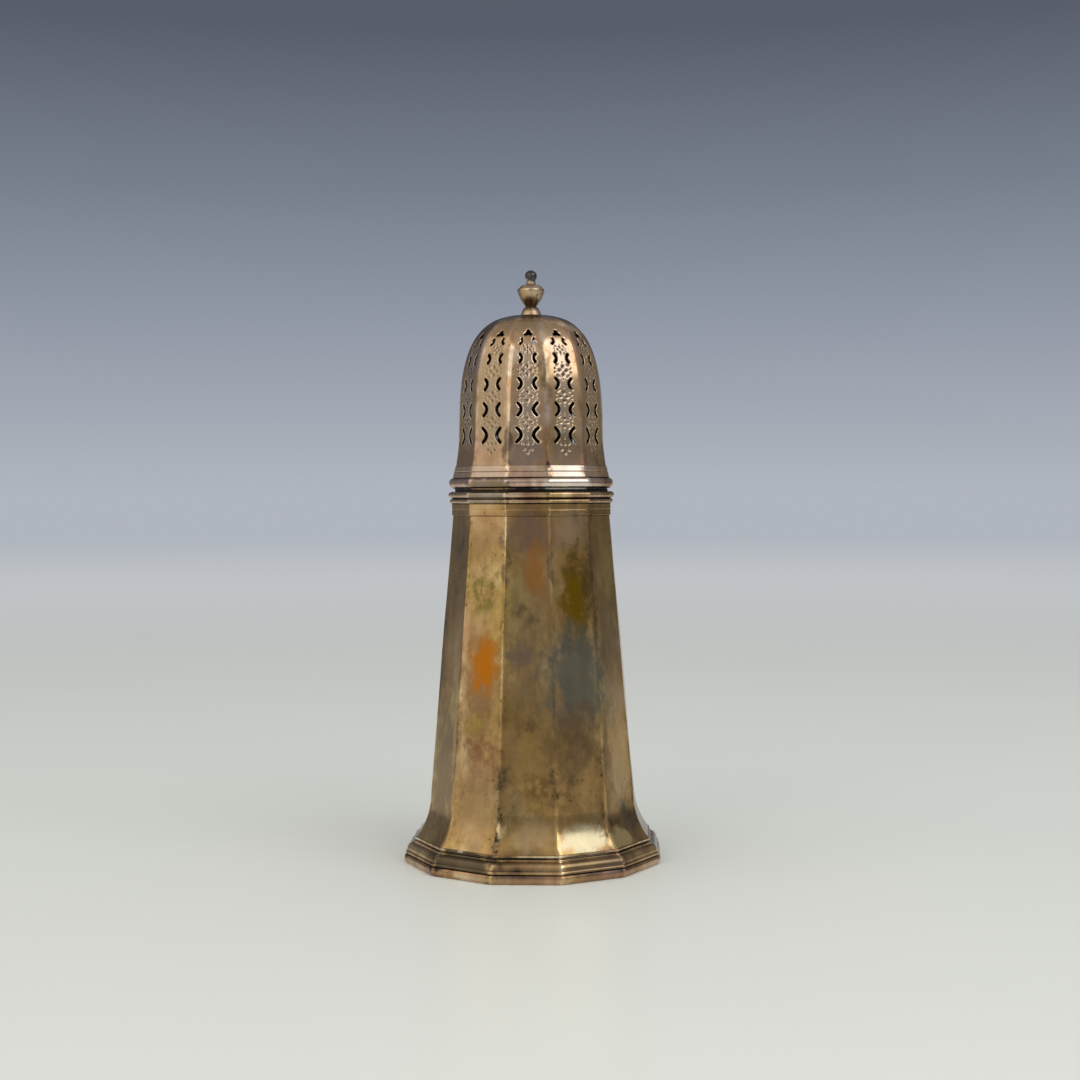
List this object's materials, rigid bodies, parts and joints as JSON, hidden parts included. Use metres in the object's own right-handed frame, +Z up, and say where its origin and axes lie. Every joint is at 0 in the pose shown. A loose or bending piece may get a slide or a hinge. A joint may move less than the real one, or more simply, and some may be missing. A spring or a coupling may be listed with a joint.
{
  "type": "sugar caster",
  "caption": "Panelled sugar caster in tarnished silver: a tapering faceted body on a spread foot, with a pull-off pierced dome cover and a turned finial.",
  "frame": {"origin": "on the table, under the middle of the foot", "axes": "+Z up the caster's axis to the finial; one panel faces -Y, which is the front in the picture"},
  "size_m": [0.071, 0.071, 0.165],
  "materials": {
    "tarnished_silver": "satin",
    "cover_silver": "satin",
    "dark_silver": "satin",
    "worn_edge_silver": "satin",
    "inner_silver": "satin"
  },
  "bodies": {
    "caster_body": {"foot_wire": "worn_edge_silver", "foot_moulding": "dark_silver", "base_plate": "inner_silver", "body_wall": "tarnished_silver", "mouth_band": "tarnished_silver", "rim_moulding": "dark_silver"},
    "cover": {"cover_bezel": "inner_silver", "cover_moulding": "dark_silver", "cover_band": "tarnished_silver", "cover_dome": "cover_silver", "finial": "cover_silver", "finial_washer": "inner_silver"}
  },
  "joints": [
    {"name": "cover_lift", "type": "slide", "parent": "caster_body", "child": "cover", "axis": [0, 0, 1], "range_m": [0, 0.08]}
  ]
}
